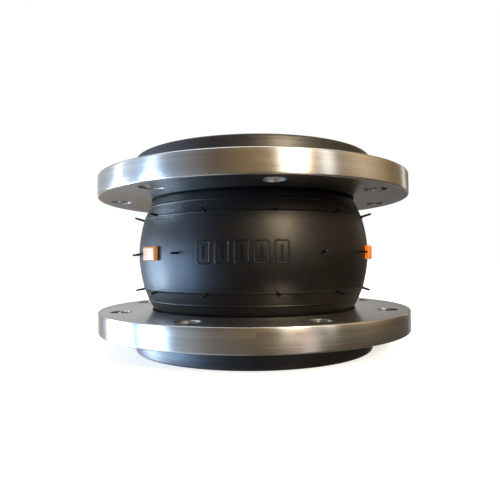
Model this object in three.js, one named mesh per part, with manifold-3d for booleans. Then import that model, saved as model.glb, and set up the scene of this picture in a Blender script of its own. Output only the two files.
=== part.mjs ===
// Single-arch rubber expansion joint, nominal bore 200 mm, with two loose (swivelling) steel flanges.
//
// Frame: millimetres, +Z up along the pipe axis. The origin is the centre of the lower sealing face, on which
// the joint stands. Azimuths are measured from -Y (the front) towards +X (the right).
//
// The wall is a lamination: an inner tube, four plies of tyre cord and a cover. At each end it carries a lip:
// a steel bead ring and its filler in a fabric wrap, inside a lip cover, closed by a soft sealing face.

import * as THREE from "three";
import { mergeVertices } from "three/addons/utils/BufferGeometryUtils.js";
import Module from "manifold-3d";

const wasm = await Module();
wasm.setup();

// Driving dimensions
const FACE_TO_FACE = 205;
const FLANGE_GAP = 118; // between the two flanges' inner faces
const FLANGE_RADIUS = 170;
const FLANGE_THICKNESS = 22;
const BOLT_CIRCLE_RADIUS = 147.5;
const BOLT_COUNT = 8;
const BOLT_HOLE_RADIUS = 11;
const UPPER_BOLT_AZIMUTH = 6.5; // degrees, first hole; the flanges swivel, so the two differ
const LOWER_BOLT_AZIMUTH = 22.5;
const BORE_RADIUS = 100;
const WALL = 12; // rubber wall, bore to outside
const ARCH_RADIUS = 127.5; // outside, at the middle of the arch
const SHOULDER_RADIUS = 122; // outside, at the shoulder
const SHOULDER_HEIGHT = 37; // above the middle of the arch
const LIP_RADIUS = 132;
const SEALING_FACE_THICKNESS = 5;

// Details
const GAP = 0.3; // between pieces that touch
const FLANGE_CLEARANCE = 1.5; // flange bore to rubber neck, so that the flange swivels
const RIM_CHAMFER = 1.2;
const BORE_CHAMFER = 2;
const ARCH_POWER = 1.9; // shape of the arch between its middle and its shoulders
const TUBE_THICKNESS = 3.2;
const PLY_THICKNESS = 1.1;
const PLY_COUNT = 4;
const LIP_SKIN = 1.7; // lip cover above and below the bead pocket
const LIP_EDGE = 4; // lip cover outside the bead pocket
const WRAP_THICKNESS = 1;
const TAB = { azimuths: [-51.5, 68.5, 188.5], width: 24, height: 14, thickness: 4, sides: 4 };

// Facets round the axis: multiples of 4 keep points on the X and Y axes
const FLANGE_SEGMENTS = 64;
const RUBBER_SEGMENTS = 32;
const HOLE_SEGMENTS = 16;
const BEAD_SIDES = 8;

const NECK_RADIUS = BORE_RADIUS + WALL;
const HALF_LENGTH = FACE_TO_FACE / 2;
const FLANGE_INNER_Z = FLANGE_GAP / 2;
const FLANGE_OUTER_Z = FLANGE_INNER_Z + FLANGE_THICKNESS;
const WALL_END_Z = HALF_LENGTH - SEALING_FACE_THICKNESS - GAP;

const MATERIALS = {
  steel: new THREE.MeshStandardMaterial({ color: 0xb9b6b0, roughness: 0.35, metalness: 1 }),
  beadSteel: new THREE.MeshStandardMaterial({ color: 0x8f8c86, roughness: 0.5, metalness: 1 }),
  rubber: new THREE.MeshStandardMaterial({ color: 0x1d1d1f, roughness: 0.55, metalness: 0 }),
  filler: new THREE.MeshStandardMaterial({ color: 0x2b2927, roughness: 0.7, metalness: 0 }),
  cord: new THREE.MeshStandardMaterial({ color: 0xb79f72, roughness: 0.9, metalness: 0 }),
  marker: new THREE.MeshStandardMaterial({ color: 0xe8641b, roughness: 0.5, metalness: 0 }),
};

const radians = (degrees) => (degrees * Math.PI) / 180;

// Outside radius of the wall at a height above or below the middle of the arch.
function outsideRadius(height) {
  const h = Math.abs(height);
  if (h <= SHOULDER_HEIGHT) {
    return ARCH_RADIUS - (ARCH_RADIUS - SHOULDER_RADIUS) * (h / SHOULDER_HEIGHT) ** ARCH_POWER;
  }
  const share = (h - SHOULDER_HEIGHT) / (FLANGE_INNER_Z - SHOULDER_HEIGHT);
  return THREE.MathUtils.lerp(SHOULDER_RADIUS, NECK_RADIUS, Math.min(1, share));
}

// A solid of revolution about Z from a closed outline of [radius, height] pairs, in either direction.
function ring(outline, segments) {
  const points = outline.map(([r, z]) => new THREE.Vector2(r, z));
  if (THREE.ShapeUtils.area(points) < 0) points.reverse();
  points.push(points[0].clone());
  return new THREE.LatheGeometry(points, segments).rotateX(Math.PI / 2);
}

function manifoldOf(geometry) {
  const bare = geometry.clone();
  bare.deleteAttribute("normal");
  bare.deleteAttribute("uv");
  const merged = mergeVertices(bare, 1e-3);
  return new wasm.Manifold(
    new wasm.Mesh({
      numProp: 3,
      vertProperties: new Float32Array(merged.attributes.position.array),
      triVerts: new Uint32Array(merged.index.array),
    }),
  );
}

function geometryOf(manifold) {
  const mesh = manifold.getMesh();
  return new THREE.BufferGeometry()
    .setAttribute("position", new THREE.BufferAttribute(mesh.vertProperties, 3))
    .setIndex(new THREE.BufferAttribute(mesh.triVerts, 1));
}

function meshOf(name, geometry, material) {
  const mesh = new THREE.Mesh(geometry, material);
  mesh.name = name;
  return mesh;
}

const rubberRing = (name, outline, material) => meshOf(name, ring(outline, RUBBER_SEGMENTS), material);

// Flange with its inner face at FLANGE_INNER_Z: chamfered rims and bore, and the bolt holes.
function flangeGeometry() {
  const boreRadius = NECK_RADIUS + FLANGE_CLEARANCE;
  const outline = [
    [boreRadius + BORE_CHAMFER, FLANGE_INNER_Z],
    [FLANGE_RADIUS - RIM_CHAMFER, FLANGE_INNER_Z],
    [FLANGE_RADIUS, FLANGE_INNER_Z + RIM_CHAMFER],
    [FLANGE_RADIUS, FLANGE_OUTER_Z - RIM_CHAMFER],
    [FLANGE_RADIUS - RIM_CHAMFER, FLANGE_OUTER_Z],
    [boreRadius + BORE_CHAMFER, FLANGE_OUTER_Z],
    [boreRadius, FLANGE_OUTER_Z - BORE_CHAMFER],
    [boreRadius, FLANGE_INNER_Z + BORE_CHAMFER],
  ];
  const drill = new THREE.CylinderGeometry(
    BOLT_HOLE_RADIUS,
    BOLT_HOLE_RADIUS,
    2 * FLANGE_THICKNESS,
    HOLE_SEGMENTS,
  ).rotateX(Math.PI / 2);
  let flange = manifoldOf(ring(outline, FLANGE_SEGMENTS));
  for (let i = 0; i < BOLT_COUNT; i += 1) {
    const azimuth = (i * 2 * Math.PI) / BOLT_COUNT;
    const hole = drill.clone().translate(
      BOLT_CIRCLE_RADIUS * Math.sin(azimuth),
      -BOLT_CIRCLE_RADIUS * Math.cos(azimuth),
      (FLANGE_INNER_Z + FLANGE_OUTER_Z) / 2,
    );
    flange = flange.subtract(manifoldOf(hole));
  }
  return geometryOf(flange);
}

// One layer of the wall from lip to lip, between two depths measured outwards from the bore.
function wallLayer(near, far) {
  const above = [SHOULDER_HEIGHT / 2, SHOULDER_HEIGHT, FLANGE_INNER_Z, WALL_END_Z];
  const below = above.map((h) => -h).reverse();
  const heights = [...below, 0, ...above];
  const inside = heights.map((h) => [outsideRadius(h) - WALL + near, h]);
  const outside = heights.map((h) => [outsideRadius(h) - WALL + far, h]);
  return [...inside, ...outside.reverse()];
}

function wall() {
  const layers = new THREE.Group();
  layers.add(rubberRing("inner_tube", wallLayer(0, TUBE_THICKNESS), MATERIALS.rubber));
  let depth = TUBE_THICKNESS + GAP;
  for (let i = 1; i <= PLY_COUNT; i += 1) {
    layers.add(rubberRing(`cord_ply_${i}`, wallLayer(depth, depth + PLY_THICKNESS), MATERIALS.cord));
    depth += PLY_THICKNESS + GAP;
  }
  layers.add(rubberRing("outer_cover", wallLayer(depth, WALL), MATERIALS.rubber));
  return layers;
}

// The lip's pieces lie one inside the other, each in a pocket that is open towards the wall.
const LIP_INNER_RADIUS = NECK_RADIUS + GAP;
const LIP_FOOT_Z = FLANGE_OUTER_Z + GAP;
const WRAP_BOX = {
  radius: LIP_RADIUS - LIP_EDGE - GAP,
  low: LIP_FOOT_Z + LIP_SKIN + GAP,
  high: WALL_END_Z - LIP_SKIN - GAP,
};
const CORE_BOX = {
  radius: WRAP_BOX.radius - WRAP_THICKNESS - GAP,
  low: WRAP_BOX.low + WRAP_THICKNESS + GAP,
  high: WRAP_BOX.high - WRAP_THICKNESS - GAP,
};
const BEAD_RADIUS = (CORE_BOX.high - CORE_BOX.low) / 2;

// A channel round the axis, open towards it: from outer box to inner box, which is GAP larger than its filling.
function channel(radius, low, high, filling) {
  return [
    [LIP_INNER_RADIUS, low],
    [radius, low],
    [radius, high],
    [LIP_INNER_RADIUS, high],
    [LIP_INNER_RADIUS, filling.high + GAP],
    [filling.radius + GAP, filling.high + GAP],
    [filling.radius + GAP, filling.low - GAP],
    [LIP_INNER_RADIUS, filling.low - GAP],
  ];
}

function beadSection() {
  const centre = [CORE_BOX.radius - BEAD_RADIUS, (CORE_BOX.low + CORE_BOX.high) / 2];
  const section = [];
  for (let i = 0; i < BEAD_SIDES; i += 1) {
    const turn = ((i + 0.5) * 2 * Math.PI) / BEAD_SIDES;
    section.push([centre[0] + BEAD_RADIUS * Math.cos(turn), centre[1] + BEAD_RADIUS * Math.sin(turn)]);
  }
  return section;
}

// Tapers from the bead ring towards the wall.
function fillerSection() {
  const beadSide = CORE_BOX.radius - 2 * BEAD_RADIUS - GAP;
  const middle = (CORE_BOX.low + CORE_BOX.high) / 2;
  return [
    [LIP_INNER_RADIUS, middle - BEAD_RADIUS / 2],
    [beadSide, CORE_BOX.low],
    [beadSide, CORE_BOX.high],
    [LIP_INNER_RADIUS, middle + BEAD_RADIUS / 2],
  ];
}

// The pieces of the upper end.
function endPieces(end, boltAzimuth) {
  const pieces = new THREE.Group();
  const sealingFace = [
    [BORE_RADIUS, WALL_END_Z + GAP],
    [LIP_RADIUS - 0.5, WALL_END_Z + GAP],
    [LIP_RADIUS - 2, HALF_LENGTH],
    [BORE_RADIUS, HALF_LENGTH],
  ];
  const lipCover = channel(LIP_RADIUS, LIP_FOOT_Z, WALL_END_Z, WRAP_BOX);
  const wrap = channel(WRAP_BOX.radius, WRAP_BOX.low, WRAP_BOX.high, CORE_BOX);
  const flange = meshOf(`${end}_flange`, flangeGeometry(), MATERIALS.steel);
  flange.rotation.z = radians(boltAzimuth);
  pieces.add(flange);
  pieces.add(rubberRing(`${end}_sealing_face`, sealingFace, MATERIALS.rubber));
  pieces.add(rubberRing(`${end}_lip_cover`, lipCover, MATERIALS.rubber));
  pieces.add(rubberRing(`${end}_bead_wrap`, wrap, MATERIALS.cord));
  pieces.add(rubberRing(`${end}_bead_ring`, beadSection(), MATERIALS.beadSteel));
  pieces.add(rubberRing(`${end}_bead_filler`, fillerSection(), MATERIALS.filler));
  return pieces;
}

// A curved coloured tab on the middle of the arch.
function markerTab(index, azimuth) {
  const innerRadius = ARCH_RADIUS + GAP;
  const halfAngle = TAB.width / 2 / ARCH_RADIUS;
  const outline = new THREE.Shape();
  outline.absarc(0, 0, innerRadius + TAB.thickness, -halfAngle, halfAngle, false);
  outline.absarc(0, 0, innerRadius, halfAngle, -halfAngle, true);
  const settings = { depth: TAB.height, bevelEnabled: false, curveSegments: TAB.sides };
  const geometry = new THREE.ExtrudeGeometry(outline, settings).translate(0, 0, -TAB.height / 2);
  const tab = meshOf(`marker_tab_${index}`, geometry, MATERIALS.marker);
  tab.rotation.z = radians(azimuth - 90);
  return tab;
}

const joint = new THREE.Group();
joint.position.z = HALF_LENGTH;
joint.add(wall());
joint.add(endPieces("upper", UPPER_BOLT_AZIMUTH));

// The lower end is the upper end turned over about X.
const lowerEnd = endPieces("lower", LOWER_BOLT_AZIMUTH);
lowerEnd.rotation.x = Math.PI;
joint.add(lowerEnd);

TAB.azimuths.forEach((azimuth, i) => joint.add(markerTab(i + 1, azimuth)));

export default joint;
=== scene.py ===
"""Single-arch rubber expansion joint: the visual model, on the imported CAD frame. Metres, +Z up."""

import math
import random

import bpy
from mathutils import Matrix, Vector

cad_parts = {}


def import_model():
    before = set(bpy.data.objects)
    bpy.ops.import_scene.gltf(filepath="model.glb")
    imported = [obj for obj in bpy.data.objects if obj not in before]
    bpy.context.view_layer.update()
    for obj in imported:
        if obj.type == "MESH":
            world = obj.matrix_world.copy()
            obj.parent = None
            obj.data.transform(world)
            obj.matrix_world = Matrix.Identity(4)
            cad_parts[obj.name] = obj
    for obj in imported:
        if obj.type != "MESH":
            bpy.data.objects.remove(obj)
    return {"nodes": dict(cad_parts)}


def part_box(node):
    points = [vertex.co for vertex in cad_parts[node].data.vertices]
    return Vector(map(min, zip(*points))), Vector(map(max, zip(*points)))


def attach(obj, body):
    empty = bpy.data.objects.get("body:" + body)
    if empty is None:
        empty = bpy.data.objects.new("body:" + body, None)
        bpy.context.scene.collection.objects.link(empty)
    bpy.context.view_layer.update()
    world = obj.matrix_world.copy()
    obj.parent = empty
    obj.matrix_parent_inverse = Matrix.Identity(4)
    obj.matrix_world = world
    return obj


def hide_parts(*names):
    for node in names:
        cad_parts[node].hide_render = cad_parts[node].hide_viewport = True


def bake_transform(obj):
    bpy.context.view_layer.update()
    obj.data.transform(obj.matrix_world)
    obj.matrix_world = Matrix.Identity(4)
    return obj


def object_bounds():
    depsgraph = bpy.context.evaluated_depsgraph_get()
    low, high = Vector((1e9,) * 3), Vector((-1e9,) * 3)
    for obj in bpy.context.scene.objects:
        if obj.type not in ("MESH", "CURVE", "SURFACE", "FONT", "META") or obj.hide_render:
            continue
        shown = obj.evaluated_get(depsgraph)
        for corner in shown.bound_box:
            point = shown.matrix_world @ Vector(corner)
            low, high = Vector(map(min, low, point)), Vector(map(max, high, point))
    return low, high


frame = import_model()
CAD_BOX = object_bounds()

# Sizes, read off the CAD frame where it has them
MM = 0.001
MIDDLE = (CAD_BOX[0][2] + CAD_BOX[1][2]) / 2
HIGH_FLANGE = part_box("upper_flange")
FLANGE_RADIUS = HIGH_FLANGE[1].x
FLANGE_INNER = HIGH_FLANGE[0].z - MIDDLE
FLANGE_OUTER = HIGH_FLANGE[1].z - MIDDLE
FLANGE_BORE = 113.5 * MM
BOLT_CIRCLE = 147.5 * MM
BOLT_HOLE = 11 * MM
BOLTS = 8
BOLT_AZIMUTHS = {"upper": 6.5, "lower": 22.5}
LIP_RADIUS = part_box("upper_lip_cover")[1].x
WALL_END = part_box("outer_cover")[1].z - MIDDLE
HALF_LENGTH = CAD_BOX[1][2] - MIDDLE
NECK_RADIUS = 112 * MM
BORE_RADIUS = 100 * MM
WALL = NECK_RADIUS - BORE_RADIUS
ARCH_RADIUS = 127.5 * MM
ARCH_POWER = 1.89
SHOULDER = (122 * MM, 37 * MM)
NECK_LINE = (117.2 * MM, 49 * MM)
GAP = 0.3 * MM
TUBE_DEPTH = 3.2 * MM
PLY_DEPTHS = [(3.5, 4.6), (4.9, 6.0), (6.3, 7.4), (7.7, 8.8)]
COVER_DEPTH = 9.1 * MM
TAB_WIDTH = 24 * MM
TAB_DEPTH = 4 * MM

# The wall's three bending zones: one joint each, as heights from the middle of the arch
ZONES = [
    ("lower", "lower_collar", "lower_wall", -59 * MM, -15 * MM),
    ("middle", "lower_wall", "upper_wall", -15 * MM, 9 * MM),
    ("upper", "upper_wall", "upper_collar", 9 * MM, 59 * MM),
]

rng = random.Random(7)


# ---------------------------------------------------------------- meshes


def direction(azimuth):
    """Unit vector outwards at an azimuth in degrees from the front, towards the right."""
    turn = math.radians(azimuth)
    return Vector((math.sin(turn), -math.cos(turn), 0))


def make(name, vertices, faces, material, sharp=40):
    """A smooth mesh object, with its edges sharp above an angle in degrees."""
    mesh = bpy.data.meshes.new(name)
    mesh.from_pydata([tuple(v) for v in vertices], [], faces)
    mesh.polygons.foreach_set("use_smooth", [True] * len(mesh.polygons))
    mesh.set_sharp_from_angle(angle=math.radians(sharp))
    mesh.materials.append(material)
    mesh.validate()
    obj = bpy.data.objects.new(name, mesh)
    bpy.context.scene.collection.objects.link(obj)
    return obj


def lathe(name, outline, material, segments=192, sharp=40):
    """A closed ring from an outline of (radius, height from the middle)."""
    area = sum(a[0] * b[1] - b[0] * a[1] for a, b in zip(outline, outline[1:] + outline[:1]))
    if area < 0:
        outline = outline[::-1]
    vertices, faces, count = [], [], len(outline)
    for s in range(segments):
        out = direction(360 * s / segments)
        vertices += [out * r + Vector((0, 0, MIDDLE + z)) for r, z in outline]
    for s in range(segments):
        near, far = s * count, (s + 1) % segments * count
        for i in range(count):
            j = (i + 1) % count
            faces.append((near + i, far + i, far + j, near + j))
    return make(name, vertices, faces, material, sharp)


def rounded(outline, radii, steps=5):
    """The outline with each corner that has a radius rounded off."""
    done = []
    for i, (corner, radius) in enumerate(zip(outline, radii)):
        if not radius:
            done.append(corner)
            continue
        here = Vector(corner)
        before = (Vector(outline[i - 1]) - here).normalized()
        after = (Vector(outline[(i + 1) % len(outline)]) - here).normalized()
        half = before.angle(after) / 2
        reach = radius / math.tan(half)
        start, end = here + before * reach, here + after * reach
        for k in range(steps + 1):
            t = k / steps
            point = start * (1 - t) ** 2 + here * 2 * t * (1 - t) + end * t**2
            done.append(tuple(point))
    return done


def in_zone(obj, nodes=()):
    """Bakes a piece's transform into its mesh, and hides the CAD nodes it stands for."""
    if nodes:
        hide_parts(*nodes)
    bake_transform(obj)
    return obj


# ---------------------------------------------------------------- materials


class Graph:
    """The node tree of a material or a world, with short calls for the nodes it uses."""

    def __init__(self, owner):
        owner = bpy.data.materials.new(owner) if isinstance(owner, str) else owner
        owner.use_nodes = True
        self.material = owner
        self.tree = owner.node_tree
        self.shader = self.tree.nodes.get("Principled BSDF")

    def put(self, socket, value):
        """Links a socket to another socket, or sets its value."""
        if isinstance(value, bpy.types.NodeSocket):
            self.tree.links.new(value, socket)
        elif value is not None:
            socket.default_value = value

    def node(self, kind, settings=None, **inputs):
        """A new node: inputs are its sockets by name, with _ for a space."""
        made = self.tree.nodes.new(kind)
        for key, value in (settings or {}).items():
            setattr(made, key, value)
        for key, value in inputs.items():
            self.put(made.inputs[key.replace("_", " ")], value)
        return made

    def set(self, **inputs):
        """Sets or links the shader's own sockets."""
        for key, value in inputs.items():
            self.put(self.shader.inputs[key.replace("_", " ")], value)

    def math(self, operation, a, b=None):
        made = self.node("ShaderNodeMath", {"operation": operation})
        self.put(made.inputs[0], a)
        self.put(made.inputs[1], b)
        return made.outputs[0]

    def coordinates(self):
        return self.node("ShaderNodeTexCoord").outputs["Object"]

    def round_axis(self, scale=(1, 1, 1), centre=MIDDLE):
        """Object coordinates as (turn round Z in metres at 100 mm, radius, height), then scaled."""
        split = self.node("ShaderNodeSeparateXYZ", Vector=self.coordinates())
        x, y, z = split.outputs
        turn = self.math("MULTIPLY", self.math("ARCTAN2", x, y), 0.1)
        square = self.math("ADD", self.math("POWER", x, 2.0), self.math("POWER", y, 2.0))
        radius = self.math("SQRT", square)
        height = self.math("SUBTRACT", z, centre)
        joined = self.node("ShaderNodeCombineXYZ")
        for socket, part, factor in zip(joined.inputs, (turn, radius, height), scale):
            self.put(socket, self.math("MULTIPLY", part, factor))
        return joined.outputs[0]

    def noise(self, vector, scale, detail=2.0, roughness=0.5):
        settings = {"Vector": vector, "Scale": scale, "Detail": detail, "Roughness": roughness}
        return self.node("ShaderNodeTexNoise", **settings).outputs["Fac"]

    def spread(self, value, low, high, start=0.0, end=1.0):
        """Maps start..end to low..high."""
        made = self.node("ShaderNodeMapRange", Value=value)
        made.inputs["From Min"].default_value = start
        made.inputs["From Max"].default_value = end
        made.inputs["To Min"].default_value = low
        made.inputs["To Max"].default_value = high
        return made.outputs["Result"]

    def ramp(self, value, stops):
        """Colours between stops of (place, colour)."""
        made = self.node("ShaderNodeValToRGB", Fac=value)
        ramp = made.color_ramp
        while len(ramp.elements) < len(stops):
            ramp.elements.new(0.5)
        for element, (place, colour) in zip(ramp.elements, stops):
            element.position = place
            element.color = (*colour, 1)
        return made.outputs["Color"]

    def bump(self, height, distance, strength=1.0, normal=None):
        made = self.node("ShaderNodeBump", Height=height, Distance=distance, Strength=strength)
        self.put(made.inputs["Normal"], normal)
        return made.outputs["Normal"]


def cover_rubber(name, *shades, gloss):
    """Moulded black rubber in three shades: clouded, faintly swollen, with a fine grain and dust."""
    g = Graph(name)
    place = g.coordinates()
    cloud = g.noise(place, 38.0, 4.0, 0.6)
    flow = g.noise(g.round_axis((6, 0, 90)), 5.0, 3.0, 0.6)
    grain = g.noise(place, 1900.0, 3.0, 0.65)
    dust = g.spread(g.noise(place, 260.0, 5.0, 0.7), 0.0, 1.0, 0.5, 0.8)
    tone = g.math("ADD", g.math("MULTIPLY", cloud, 0.6), g.math("MULTIPLY", dust, 0.4))
    g.set(Base_Color=g.ramp(tone, list(zip((0.2, 0.55, 1.0), shades))))
    rough = g.math("ADD", g.spread(cloud, 0.36, 0.44, 0.3, 0.7), g.math("MULTIPLY", flow, 0.06))
    g.set(Roughness=rough, Specular_IOR_Level=gloss)
    swell = g.bump(g.noise(g.round_axis((40, 0, 60)), 1.0, 3.0), 0.0007, 0.4)
    g.set(Normal=g.bump(grain, 0.0001, 0.35, swell))
    return g.material


def inner_rubber(name, shade, low, high):
    """Plain dark rubber of one shade, with its roughness between low and high."""
    g = Graph(name)
    place = g.coordinates()
    cloud = g.noise(place, 30.0, 4.0)
    dark = tuple(shade * f for f in (1, 1, 1.03))
    light = tuple(1.7 * shade * f for f in (1, 0.98, 0.94))
    g.set(Base_Color=g.ramp(cloud, [(0.3, dark), (0.7, light)]))
    g.set(Roughness=g.spread(cloud, low, high, 0.3, 0.7))
    g.set(Normal=g.bump(g.noise(place, 900.0, 3.0), 0.0002, 0.5))
    return g.material


def cord_fabric():
    """Cords laid side by side on the slant."""
    g = Graph("cord_fabric")
    bands = {"wave_type": "BANDS", "bands_direction": "DIAGONAL"}
    place = g.round_axis((1, 0, 1))
    cord = g.node("ShaderNodeTexWave", bands, Vector=place, Scale=160.0, Distortion=1.0).outputs["Fac"]
    g.set(Base_Color=g.ramp(cord, [(0.1, (0.16, 0.11, 0.05)), (0.9, (0.55, 0.44, 0.26))]))
    g.set(Roughness=g.spread(cord, 0.95, 0.75))
    g.set(Normal=g.bump(cord, 0.0004, 0.8))
    return g.material


def turned_steel():
    """Turned rim and faces: fine grooves round the axis, faint rings on the faces, and small scuffs."""
    g = Graph("flange_steel")
    place = g.coordinates()
    rings = g.noise(g.round_axis((1.2, 1500, 1500)), 1.0, 3.0, 0.6)
    fine = g.noise(g.round_axis((0.5, 4200, 4200)), 1.0, 2.0, 0.7)
    broad = g.noise(g.round_axis((9, 120, 120)), 1.0, 3.0)
    scuff = g.spread(g.noise(place, 90.0, 6.0, 0.75), 0.0, 1.0, 0.58, 0.8)
    lines = g.math("ADD", g.math("MULTIPLY", rings, 0.55), g.math("MULTIPLY", fine, 0.45))
    tone = g.math("ADD", g.math("MULTIPLY", lines, 0.7), g.math("MULTIPLY", broad, 0.3))
    g.set(Base_Color=g.ramp(tone, [(0.3, (0.48, 0.465, 0.445)), (0.62, (0.66, 0.65, 0.63))]))
    g.set(Metallic=1.0, Anisotropic=0.75, Anisotropic_Rotation=0.25)
    grain = g.node("ShaderNodeTangent", {"direction_type": "RADIAL", "axis": "Z"})
    g.set(Tangent=grain.outputs[0])
    rough = g.math("ADD", g.spread(lines, 0.16, 0.28, 0.3, 0.7), g.math("MULTIPLY", scuff, 0.03))
    g.set(Roughness=rough)
    g.set(Normal=g.bump(lines, 0.00006, 0.5))
    return g.material


def bead_steel():
    """Dull drawn wire."""
    g = Graph("bead_steel")
    lines = g.noise(g.round_axis((3, 900, 900)), 1.0, 3.0)
    g.set(Base_Color=g.ramp(lines, [(0.3, (0.3, 0.29, 0.28)), (0.7, (0.46, 0.45, 0.43))]))
    g.set(Metallic=1.0, Roughness=g.spread(lines, 0.35, 0.55))
    return g.material


def marker_plastic(name, deep, plain, pale):
    """Coloured plastic in three shades, mottled by handling."""
    g = Graph(name)
    wear = g.noise(g.coordinates(), 300.0, 5.0, 0.7)
    g.set(Base_Color=g.ramp(wear, [(0.3, deep), (0.55, plain), (0.72, pale)]))
    g.set(Roughness=g.spread(wear, 0.3, 0.48), Specular_IOR_Level=0.5)
    g.set(Normal=g.bump(wear, 0.0002, 0.4))
    return g.material


RUBBER = cover_rubber(
    "cover_rubber",
    (0.0018, 0.0018, 0.002),
    (0.0028, 0.0028, 0.003),
    (0.009, 0.0085, 0.008),
    gloss=0.3,
)
LIP_RUBBER = cover_rubber(
    "lip_rubber",
    (0.006, 0.0058, 0.006),
    (0.014, 0.0132, 0.013),
    (0.042, 0.039, 0.037),
    gloss=0.5,
)
TUBE_RUBBER = inner_rubber("tube_rubber", 0.018, 0.4, 0.6)
FILLER_RUBBER = inner_rubber("filler_rubber", 0.022, 0.6, 0.8)
CORD = cord_fabric()
STEEL = turned_steel()
BEAD_STEEL = bead_steel()
ORANGE = marker_plastic(
    "marker_orange", (0.80, 0.17, 0.008), (0.93, 0.26, 0.02), (0.95, 0.42, 0.12)
)
FADED = marker_plastic(
    "marker_faded", (0.32, 0.12, 0.012), (0.38, 0.18, 0.035), (0.46, 0.29, 0.11)
)


# ---------------------------------------------------------------- the rubber wall


def outside_radius(height):
    """The wall's outer radius at a height from the middle: arch, shoulder, then neck."""
    h = abs(height)
    if h <= SHOULDER[1]:
        return ARCH_RADIUS - (ARCH_RADIUS - SHOULDER[0]) * (h / SHOULDER[1]) ** ARCH_POWER
    points = [SHOULDER, NECK_LINE, (NECK_RADIUS, FLANGE_INNER), (NECK_RADIUS, WALL_END + MM)]
    for (r0, h0), (r1, h1) in zip(points, points[1:]):
        if h <= h1:
            return r0 + (r1 - r0) * (h - h0) / (h1 - h0)
    return NECK_RADIUS


def flash(height):
    """The mould's parting lines: a fine ridge at each shoulder and at each neck."""
    h = abs(height)
    shoulder = 0.75 * MM * math.exp(-(((h - SHOULDER[1]) / (0.45 * MM)) ** 2))
    neck = 0.5 * MM * math.exp(-(((h - NECK_LINE[1]) / (0.5 * MM)) ** 2))
    return shoulder + neck


def heights_between(low, high, step, ridges=False):
    """Even heights from low to high, crowded round the parting lines if they are wanted."""
    low, high = round(low, 6), round(high, 6)
    count = max(1, round((high - low) / step))
    heights = {round(low + (high - low) * i / count, 6) for i in range(count + 1)}
    if ridges:
        lines = [side * line for side in (-1, 1) for line in (SHOULDER[1], NECK_LINE[1])]
        near = [-1.4, -0.9, -0.6, -0.4, -0.2, 0, 0.2, 0.4, 0.6, 0.9, 1.4]
        extra = {round(line + d * MM, 6) for line in lines for d in near}
        clear = {h for h in heights if all(abs(h - line) > 1.5 * MM for line in lines)}
        heights = clear | {h for h in extra if low < h < high} | {low, high}
    return sorted(heights)


def layer_outline(near, far, low, high, step, ridges=False):
    """A layer's section, near and far metres out from the bore's side of the wall."""
    heights = heights_between(low, high, step, ridges)
    sparse = heights[::3]
    if sparse[-1] != heights[-1]:
        sparse.append(heights[-1])
    outer = [(outside_radius(h) - WALL + far + (flash(h) if ridges else 0), h) for h in heights]
    inner = [(outside_radius(h) - WALL + near, h) for h in sparse]
    return outer + inner[::-1]


def wall_layer(node, near, far, material, segments, step, ridges=False):
    """One layer of the wall, as a ring in each bending zone."""
    for zone in ZONES:
        name, _, _, low, high = zone
        low = -WALL_END if name == "lower" else low
        high = WALL_END if name == "upper" else high
        outline = layer_outline(near, far, low, high, step, ridges)
        piece = lathe(f"{node}_{name}", outline, material, segments)
        in_zone(piece, [node])


wall_layer("inner_tube", 0, TUBE_DEPTH, TUBE_RUBBER, 160, 1.5 * MM)
for number, (near, far) in enumerate(PLY_DEPTHS, 1):
    wall_layer(f"cord_ply_{number}", near * MM, far * MM, CORD, 96, 3 * MM)
wall_layer("outer_cover", COVER_DEPTH, WALL, RUBBER, 256, 1 * MM, ridges=True)


# ---------------------------------------------------------------- lips


def lip(end):
    """The sealing face, and the cover that wraps round the bead's parts."""
    sign = 1 if end == "upper" else -1
    body = f"{end}_collar"
    foot, seam, top = FLANGE_OUTER + GAP, WALL_END, HALF_LENGTH
    skin, core = 1.7 * MM, LIP_RADIUS - 4 * MM
    face = [
        (BORE_RADIUS, seam + GAP),
        (LIP_RADIUS - 0.35 * MM, seam + GAP),
        (LIP_RADIUS - 0.9 * MM, top),
        (BORE_RADIUS, top),
    ]
    face = rounded(face, [0, 0, 2.2 * MM, 1.2 * MM])
    inner = NECK_RADIUS + GAP
    cover = [
        (inner, foot),
        (LIP_RADIUS, foot),
        (LIP_RADIUS, seam + 0.1 * MM),
        (inner, seam + 0.1 * MM),
        (inner, seam - skin),
        (core, seam - skin),
        (core, foot + skin),
        (inner, foot + skin),
    ]
    cover = rounded(cover, [0, 1.2 * MM, 0.15 * MM, 0, 0, 0, 0, 0])
    for node, outline in (("sealing_face", face), ("lip_cover", cover)):
        outline = [(r, sign * z) for r, z in outline]
        piece = lathe(f"{end}_{node}_piece", outline, LIP_RUBBER)
        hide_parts(f"{end}_{node}")
        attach(piece, body)


for end in ("lower", "upper"):
    lip(end)


# ---------------------------------------------------------------- flanges


def hole_loop(azimuth, radius, height, segments):
    """Points round a bolt hole."""
    centre = direction(azimuth) * BOLT_CIRCLE + Vector((0, 0, height))
    across, along = direction(azimuth), direction(azimuth + 90)
    turns = [2 * math.pi * (k + 0.5) / segments for k in range(segments)]
    return [centre + radius * (across * math.cos(t) + along * math.sin(t)) for t in turns]


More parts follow.
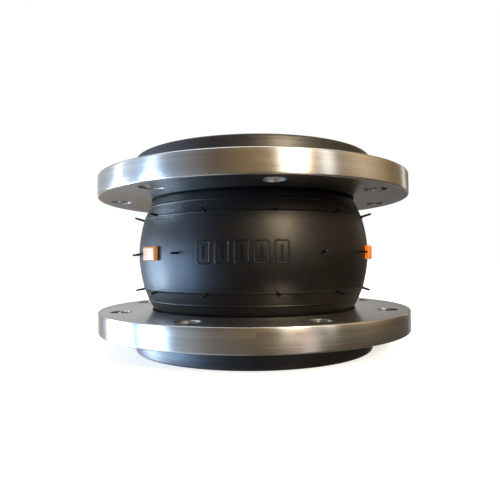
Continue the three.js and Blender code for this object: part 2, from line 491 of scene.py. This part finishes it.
def flange(end):
    """Turned ring with rounded edges, and the bolt holes cut through it."""
    sign = 1 if end == "upper" else -1
    outline = [
        (FLANGE_BORE, FLANGE_INNER),
        (FLANGE_RADIUS, FLANGE_INNER),
        (FLANGE_RADIUS, FLANGE_OUTER),
        (FLANGE_BORE, FLANGE_OUTER),
    ]
    outline = rounded(outline, [1.6 * MM, 1.7 * MM, 1.7 * MM, 2.0 * MM], 4)
    outline = [(r, sign * z) for r, z in outline]
    body = lathe(f"{end}_flange_piece", outline, STEEL, 288, sharp=30)
    for i in range(BOLTS):
        cut = body.modifiers.new(f"hole_{i}", "BOOLEAN")
        cut.operation = "DIFFERENCE"
        cut.solver = "EXACT"
        cut.object = drill(BOLT_AZIMUTHS[end] + 360 / BOLTS * i, sign)
    bake(body)
    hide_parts(f"{end}_flange")
    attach(body, f"{end}_flange")


def drill(azimuth, sign):
    """A bolt hole's cutter, with a chamfer at each mouth."""
    chamfer, beyond = 0.7 * MM, 1 * MM
    centre = MIDDLE + sign * (FLANGE_INNER + FLANGE_OUTER) / 2
    half = (FLANGE_OUTER - FLANGE_INNER) / 2
    levels = [
        (-half - beyond, BOLT_HOLE + chamfer + beyond),
        (-half + chamfer, BOLT_HOLE),
        (half - chamfer, BOLT_HOLE),
        (half + beyond, BOLT_HOLE + chamfer + beyond),
    ]
    count, vertices, faces = 64, [], []
    for height, radius in levels:
        vertices += hole_loop(azimuth, radius, centre + height, count)
    for level in range(len(levels) - 1):
        for k in range(count):
            a, b = level * count + k, level * count + (k + 1) % count
            faces.append((a, b, b + count, a + count))
    faces.append(tuple(range(count))[::-1])
    faces.append(tuple(range(3 * count, 4 * count)))
    return make(f"drill_{azimuth:.0f}_{sign}", vertices, faces, STEEL)


def bake(obj):
    """Applies the modifiers and removes the cutters."""
    cutters = [m.object for m in obj.modifiers if m.type == "BOOLEAN"]
    evaluated = obj.evaluated_get(bpy.context.evaluated_depsgraph_get())
    mesh = bpy.data.meshes.new_from_object(evaluated)
    obj.modifiers.clear()
    obj.data = mesh
    mesh.polygons.foreach_set("use_smooth", [True] * len(mesh.polygons))
    mesh.set_sharp_from_angle(angle=math.radians(30))
    for cutter in cutters:
        bpy.data.objects.remove(cutter, do_unlink=True)


for end in ("lower", "upper"):
    flange(end)


# ---------------------------------------------------------------- vent spues


def spue(name, azimuth, height, length, tilt, lean):
    """A rubber thread left by a mould vent: square to the wall, then bent to its tilt and lean."""
    base_r = outside_radius(height) - 1.0 * MM
    fall = outside_radius(height - 0.5 * MM) - outside_radius(height + 0.5 * MM)
    slope = math.degrees(math.atan2(fall, MM))
    sides, rings = 10, 9
    turns = [2 * math.pi * s / sides for s in range(sides)]
    vertices, faces = [], []
    point = direction(azimuth) * base_r + Vector((0, 0, MIDDLE + height))
    for k in range(rings):
        t = k / (rings - 1)
        pitch = math.radians(slope + (tilt - slope) * min(1, t * 1.6))
        yaw = azimuth + lean * t
        ahead = direction(yaw) * math.cos(pitch) + Vector((0, 0, math.sin(pitch)))
        if k:
            point = point + ahead * (length + 1.0 * MM) / (rings - 1)
        side = direction(yaw + 90)
        up = ahead.cross(side).normalized()
        flare = 0.9 * math.exp(-t * 14)
        radius = (1.3 + flare - 0.25 * t) * MM
        if k == rings - 1:
            radius *= 0.72
        vertices += [point + radius * (side * math.cos(a) + up * math.sin(a)) for a in turns]
    for k in range(rings - 1):
        for s in range(sides):
            a, b = k * sides + s, k * sides + (s + 1) % sides
            faces.append((a, b, b + sides, a + sides))
    faces.append(tuple(range(sides))[::-1])
    faces.append(tuple(range((rings - 1) * sides, rings * sides)))
    piece = make(name, vertices, faces, RUBBER, 60)
    in_zone(piece)


def spues():
    """A row at each shoulder, and one round the middle."""
    for i in range(12):
        for side, zone, label in ((1, ZONES[2], "upper"), (-1, ZONES[0], "lower")):
            azimuth = 9.5 + 30 * i + rng.uniform(-0.6, 0.6)
            length = rng.uniform(8, 11) * MM
            tilt = side * rng.uniform(9, 19)
            lean = rng.uniform(-14, 14)
            spue(f"spue_{label}_{i + 1}", azimuth, side * SHOULDER[1], length, tilt, lean)
    for i in range(13):
        azimuth = 29.3 + 24.77 * i
        lean = -26 if i == 0 else rng.uniform(-8, 8)
        length = 4 * MM if i == 2 else rng.uniform(8.5, 11) * MM
        tilt = rng.uniform(-5, 5)
        spue(f"spue_middle_{i + 1}", azimuth, 0, length, tilt, lean)


spues()


# ---------------------------------------------------------------- moulded tablets and marker tabs


def on_wall(azimuth, across, up, lift):
    """A point on the cover, across metres round it and up metres above the middle, lifted off it."""
    radius = outside_radius(up) + lift
    out = direction(azimuth + math.degrees(across / ARCH_RADIUS))
    return out * radius + Vector((0, 0, MIDDLE + up))


def rounded_loop(width, height, corner, steps=6):
    """Points round a rounded rectangle, centred, anticlockwise seen from outside."""
    points = []
    for cx, cy, start in ((1, 1, 0), (-1, 1, 90), (-1, -1, 180), (1, -1, 270)):
        x, y = cx * (width / 2 - corner), cy * (height / 2 - corner)
        for k in range(steps + 1):
            turn = math.radians(start + 90 * k / steps)
            points.append((x + corner * math.cos(turn), y + corner * math.sin(turn)))
    return dense(points, 1.5 * MM)


def dense(points, step):
    """The closed loop with its long edges divided, so that it follows the curved wall."""
    done = []
    for a, b in zip(points, points[1:] + points[:1]):
        count = max(1, math.ceil(math.dist(a, b) / step))
        across, up = b[0] - a[0], b[1] - a[1]
        done += [(a[0] + across * k / count, a[1] + up * k / count) for k in range(count)]
    return done


def bead_loop(name, azimuth, loop, width, height):
    """A raised bead that follows a closed loop on the cover, half sunk in it."""
    side = [(width, -0.6 * MM), (width * 0.75, 0.1 * MM), (width * 0.35, height)]
    section = [(-x, z) for x, z in side] + side[::-1]
    count, size, vertices, faces = len(loop), len(section), [], []
    for i, here in enumerate(loop):
        before, after = Vector(loop[i - 1]), Vector(loop[(i + 1) % count])
        along = (after - before).normalized()
        outwards = Vector((along.y, -along.x))
        for offset, lift in section:
            place = Vector(here) + outwards * offset
            vertices.append(on_wall(azimuth, place.x, place.y, lift))
    for i in range(count):
        a, b = i * size, (i + 1) % count * size
        for k in range(size):
            n = (k + 1) % size
            faces.append((a + k, a + n, b + n, b + k))
    piece = make(name, vertices, faces, RUBBER, 60)
    in_zone(piece)


def tablets():
    """Five plain raised frames on the front of the arch, each with a rib in it."""
    for i in range(5):
        azimuth = -21.0 + 8.0 * i
        frame_loop = rounded_loop(12.4 * MM, 20 * MM, 2.2 * MM)
        rib_loop = rounded_loop(1.2 * MM, 12 * MM, 0.55 * MM)
        bead_loop(f"tablet_{i + 1}", azimuth, frame_loop, 1.15 * MM, 0.75 * MM)
        bead_loop(f"tablet_rib_{i + 1}", azimuth, rib_loop, 0.7 * MM, 0.7 * MM)


tablets()


def marker_tab(node, material):
    """Curved coloured tab with rounded edges, on the middle of the arch."""
    low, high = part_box(node)
    centre = (low + high) / 2
    azimuth = math.degrees(math.atan2(centre.x, -centre.y))
    half_height = (high.z - low.z) / 2
    half_width, edge = TAB_WIDTH / 2, 1.5 * MM
    columns, rows = 28, 16
    vertices, faces = [], []

    def ease(t):
        """Spacing that crowds rows towards both edges."""
        return math.sin(t * math.pi / 2)

    for layer in (0, 1):
        for j in range(rows + 1):
            v = ease(2 * j / rows - 1)
            for i in range(columns + 1):
                u = ease(2 * i / columns - 1)
                inset = min(half_width * (1 - abs(u)), half_height * (1 - abs(v)))
                crown = edge - math.sqrt(max(0, edge**2 - max(0, edge - inset) ** 2))
                lift = TAB_DEPTH - crown if layer else 0
                radius = ARCH_RADIUS + GAP + lift
                out = direction(azimuth + math.degrees(u * half_width / ARCH_RADIUS))
                vertices.append(out * radius + Vector((0, 0, MIDDLE + v * half_height)))
    stride = columns + 1
    sheet = (rows + 1) * stride
    for j in range(rows):
        for i in range(columns):
            a = j * stride + i
            faces.append((a, a + stride, a + stride + 1, a + 1))
            b = sheet + a
            faces.append((b, b + 1, b + stride + 1, b + stride))
    rim = list(range(stride))
    rim += [j * stride + columns for j in range(1, rows + 1)]
    rim += [rows * stride + i for i in range(columns - 1, -1, -1)]
    rim += [j * stride for j in range(rows - 1, 0, -1)]
    for a, b in zip(rim, rim[1:] + rim[:1]):
        faces.append((a, b, sheet + b, sheet + a))
    piece = make(f"{node}_piece", vertices, faces, material, 50)
    in_zone(piece, [node])


for number, material in ((1, FADED), (2, ORANGE), (3, ORANGE)):
    marker_tab(f"marker_tab_{number}", material)


# ---------------------------------------------------------------- carried-over CAD nodes

BEAD_PARTS = {"bead_ring": BEAD_STEEL, "bead_wrap": CORD, "bead_filler": FILLER_RUBBER}
for end in ("lower", "upper"):
    for node, material in BEAD_PARTS.items():
        mesh = frame["nodes"][f"{end}_{node}"].data
        mesh.materials.clear()
        mesh.materials.append(material)


# ---------------------------------------------------------------- stage, camera and light


# The room's soft light by azimuth, then the soft panels in it: (azimuth, red, green, blue), and
# (azimuth, width, red, green, blue). HIGH is above the horizon, LOW is below it.
HIGH_ROOM = [
    (-180, 0.55, 0.55, 0.55),
    (-120, 0.50, 0.53, 0.57),
    (-92, 0.68, 0.80, 0.98),
    (-60, 0.34, 0.40, 0.48),
    (-25, 0.17, 0.12, 0.08),
    (5, 0.40, 0.27, 0.13),
    (38, 0.50, 0.38, 0.27),
    (62, 0.50, 0.40, 0.28),
    (80, 0.95, 0.72, 0.45),
    (110, 0.30, 0.20, 0.10),
    (150, 0.22, 0.19, 0.16),
    (180, 0.55, 0.55, 0.55),
]
HIGH_PANELS = [
    (-107, 7, 1.9, 2.0, 2.1),
    (-73, 7, 1.6, 1.85, 2.1),
    (21, 5, 2.0, 1.95, 1.8),
    (51, 6, 2.1, 2.0, 1.85),
    (134, 4, 1.3, 1.2, 1.05),
]
LOW_ROOM = [
    (-180, 0.16, 0.15, 0.14),
    (-135, 0.40, 0.34, 0.30),
    (-118, 0.45, 0.48, 0.50),
    (-84, 0.30, 0.34, 0.38),
    (-50, 0.42, 0.50, 0.58),
    (-30, 0.22, 0.20, 0.19),
    (8, 0.13, 0.10, 0.06),
    (25, 0.22, 0.17, 0.14),
    (60, 0.11, 0.09, 0.06),
    (120, 0.11, 0.09, 0.07),
    (180, 0.16, 0.15, 0.14),
]
LOW_PANELS = [
    (-150, 7, 0.85, 0.80, 0.74),
    (-100, 7, 1.3, 1.35, 1.4),
    (-64, 9, 1.1, 1.35, 1.55),
    (38, 9, 0.72, 0.62, 0.60),
    (148, 8, 0.42, 0.40, 0.37),
]
PALE = (1, 1, 1, 1)


def seen(g):
    """1 where the camera looks straight at the backdrop, 0 for the light that it gives."""
    return g.node("ShaderNodeLightPath").outputs["Is Camera Ray"]


def floor():
    """Pale where it is looked at. It gives no light from below: the surroundings do."""
    size = 14
    vertices = [(-size, -size, 0), (size, -size, 0), (size, size, 0), (-size, size, 0)]
    g = Graph("floor")
    tone = g.noise(g.coordinates(), 3.0)
    g.set(Base_Color=g.ramp(tone, [(0.3, (0.80, 0.80, 0.80)), (0.7, (0.82, 0.82, 0.82))]))
    g.set(Roughness=0.8, Specular_IOR_Level=0.0)
    clear = g.node("ShaderNodeBsdfTransparent").outputs[0]
    g.set(Emission_Color=PALE, Emission_Strength=0.62)
    mixed = g.node("ShaderNodeMixShader", Fac=seen(g))
    g.put(mixed.inputs[1], clear)
    g.put(mixed.inputs[2], g.shader.outputs[0])
    g.put(g.tree.nodes["Material Output"].inputs["Surface"], mixed.outputs[0])
    make("floor", vertices, [(0, 1, 2, 3)], g.material)


def light_at(room, azimuth):
    """The room's light at an azimuth, between its two nearest entries."""
    for (a, *low), (b, *high) in zip(room, room[1:]):
        if a <= azimuth <= b:
            t = (azimuth - a) / (b - a)
            return [x + (y - x) * t for x, y in zip(low, high)]


def surroundings(g, turn, room, panels, soft=2.5):
    """The room's light as a ramp over azimuth, with each panel let into it with soft edges."""
    clear = [[abs(stop[0] - p[0]) > p[1] / 2 + soft for p in panels] for stop in room]
    stops = [stop for stop, apart in zip(room, clear) if all(apart)]
    for azimuth, width, *colour in panels:
        low, high = azimuth - width / 2, azimuth + width / 2
        stops += [(low - soft, *light_at(room, low - soft)), (low, *colour), (high, *colour)]
        stops += [(high + soft, *light_at(room, high + soft))]
    halved = [(a / 360 + 0.5, tuple(c / 2 for c in colour)) for a, *colour in sorted(stops)]
    return g.ramp(turn, halved)


def world():
    """The room. Its ramps hold half the light, and the background doubles it."""
    made = bpy.data.worlds.new("world")
    g = Graph(made)
    ray = g.node("ShaderNodeTexCoord").outputs["Generated"]
    x, y, z = g.node("ShaderNodeSeparateXYZ", Vector=ray).outputs
    round_z = g.math("ARCTAN2", x, g.math("MULTIPLY", y, -1.0))
    turn = g.math("ADD", g.math("DIVIDE", round_z, 2 * math.pi), 0.5)
    rise = g.spread(z, 0.0, 1.0, -0.1, 0.1)
    around = g.node("ShaderNodeMix", {"data_type": "RGBA"})
    g.put(around.inputs[0], rise)
    g.put(around.inputs[6], surroundings(g, turn, LOW_ROOM, LOW_PANELS))
    g.put(around.inputs[7], surroundings(g, turn, HIGH_ROOM, HIGH_PANELS))
    light = g.node("ShaderNodeBackground", Color=around.outputs[2], Strength=2.0)
    backdrop = g.node("ShaderNodeBackground", Color=PALE, Strength=1.0)
    mixed = g.node("ShaderNodeMixShader", Fac=seen(g))
    g.put(mixed.inputs[1], light.outputs[0])
    g.put(mixed.inputs[2], backdrop.outputs[0])
    g.put(g.tree.nodes["World Output"].inputs["Surface"], mixed.outputs[0])
    bpy.context.scene.world = made


def camera():
    """A near view from just below the middle, tipped up a little."""
    data = bpy.data.cameras.new("camera")
    data.sensor_width = 36
    data.lens = 31.87
    data.clip_start = 0.01
    obj = bpy.data.objects.new("camera", data)
    bpy.context.scene.collection.objects.link(obj)
    place = Vector((-3.8 * MM, -511 * MM, MIDDLE - 8.4 * MM))
    pitch, roll = math.radians(90 + 1.46), -0.0100
    turned = Matrix.Rotation(pitch, 4, "X") @ Matrix.Rotation(roll, 4, "Z")
    obj.matrix_world = Matrix.Translation(place) @ turned
    bpy.context.scene.camera = obj


def lamp(name, kind, azimuth, distance, height, power, colour, **settings):
    """A light that looks at the middle of the object from an azimuth, and isn't itself seen."""
    data = bpy.data.lights.new(name, kind)
    data.energy = power
    data.color = colour
    for key, value in settings.items():
        setattr(data, key, value)
    obj = bpy.data.objects.new(name, data)
    bpy.context.scene.collection.objects.link(obj)
    place = direction(azimuth) * distance + Vector((0, 0, height))
    aim = (Vector((0, 0, MIDDLE)) - place).to_track_quat("-Z", "Y")
    obj.matrix_world = Matrix.Translation(place) @ aim.to_matrix().to_4x4()
    obj.visible_camera = False


def panel(name, azimuth, distance, height, size, power, colour):
    """A soft rectangular lamp."""
    shape = {"shape": "RECTANGLE", "size": size[0], "size_y": size[1]}
    lamp(name, "AREA", azimuth, distance, height, power, colour, **shape)


def lights():
    panel("left_window", -98, 0.9, -0.10, (0.36, 0.50), 16, (0.54, 0.74, 1.0))
    panel("left_glow", -66, 0.9, -0.06, (0.24, 0.50), 8, (0.34, 0.58, 1.0))
    panel("right_window", 27, 1.1, 0.57, (0.12, 0.36), 15, (1.0, 0.78, 0.52))
    lamp("ceiling", "SUN", 180, 0.5, 2.0, 1.1, (1, 1, 1), angle=math.radians(60))


floor()
camera()
lights()
world()
bpy.context.scene.view_settings.view_transform = "Standard"
